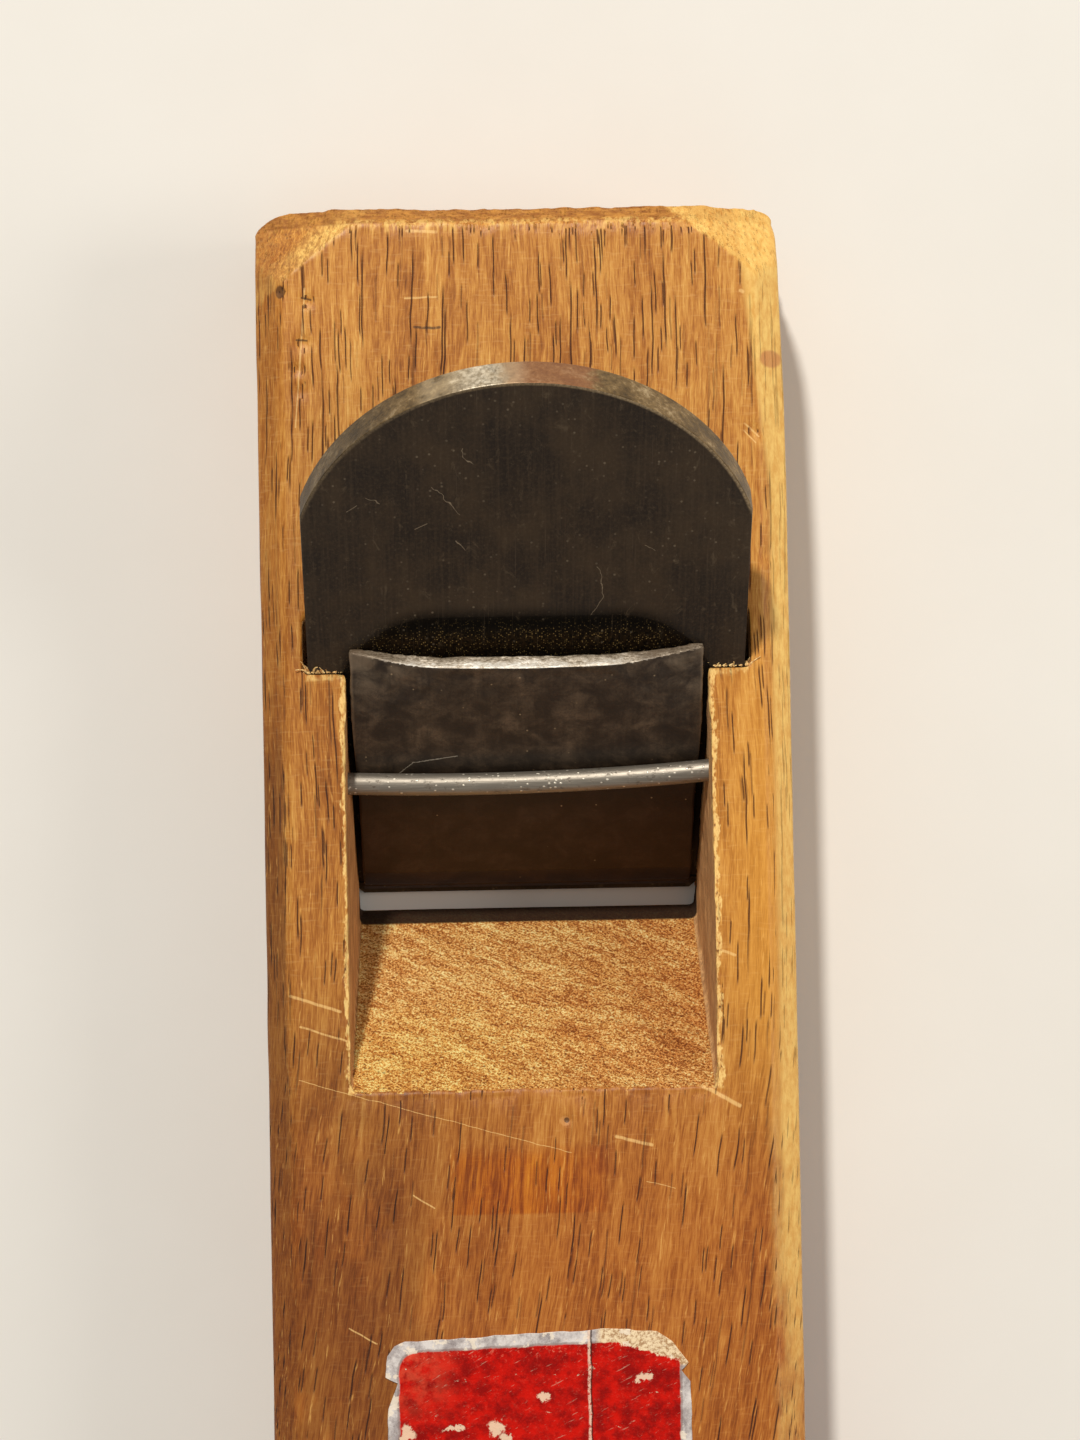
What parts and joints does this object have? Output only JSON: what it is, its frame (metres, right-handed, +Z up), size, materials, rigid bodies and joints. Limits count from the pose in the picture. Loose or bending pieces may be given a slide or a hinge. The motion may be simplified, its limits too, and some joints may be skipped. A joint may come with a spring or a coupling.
{
  "type": "japanese hand plane",
  "caption": "Wooden pull plane: oak block, wedge-shaped laminated blade in side grooves, chipbreaker with bent ears and a steel retaining pin across the throat.",
  "frame": {"origin": "middle of the sole, on the plane that the touching bands of the sole stand on", "axes": "+X across the plane, +Y along the block towards the end that the mallet strikes (the blade's round head leans that way), +Z up from the sole"},
  "size_m": [0.083, 0.275, 0.0716],
  "materials": {
    "oak": "old oak, open pores along the grain, oiled and worn, paler on its worn edges",
    "forged_iron": "dark forged soft iron with a brown patina, pitted and brighter round its rim",
    "hard_steel": "ground and darkened tool steel",
    "patinated_iron": "mottled grey-brown patina with bright worn arrises",
    "bright_steel": "ground steel, lightly stained",
    "pin_steel": "drawn steel rod, dull and rubbed bright along its top",
    "label_paper": "worn red paper with a white border, bare"
  },
  "bodies": {
    "block": {"oak_block": "oak", "retaining_pin": "pin_steel", "paper_label": "label_paper"},
    "blade": {"blade_iron": "forged_iron", "blade_steel": "hard_steel"},
    "chipbreaker": {"chipbreaker_iron": "patinated_iron", "chipbreaker_steel": "bright_steel"}
  },
  "joints": [
    {"name": "blade_slide", "type": "slide", "parent": "block", "child": "blade", "axis": [0, 0.7547, 0.6561], "range_m": [-0.00225, 0.04]},
    {"name": "chipbreaker_slide", "type": "slide", "parent": "blade", "child": "chipbreaker", "axis": [0, 0.7314, 0.682], "range_m": [-0.0007, 0.029]}
  ]
}
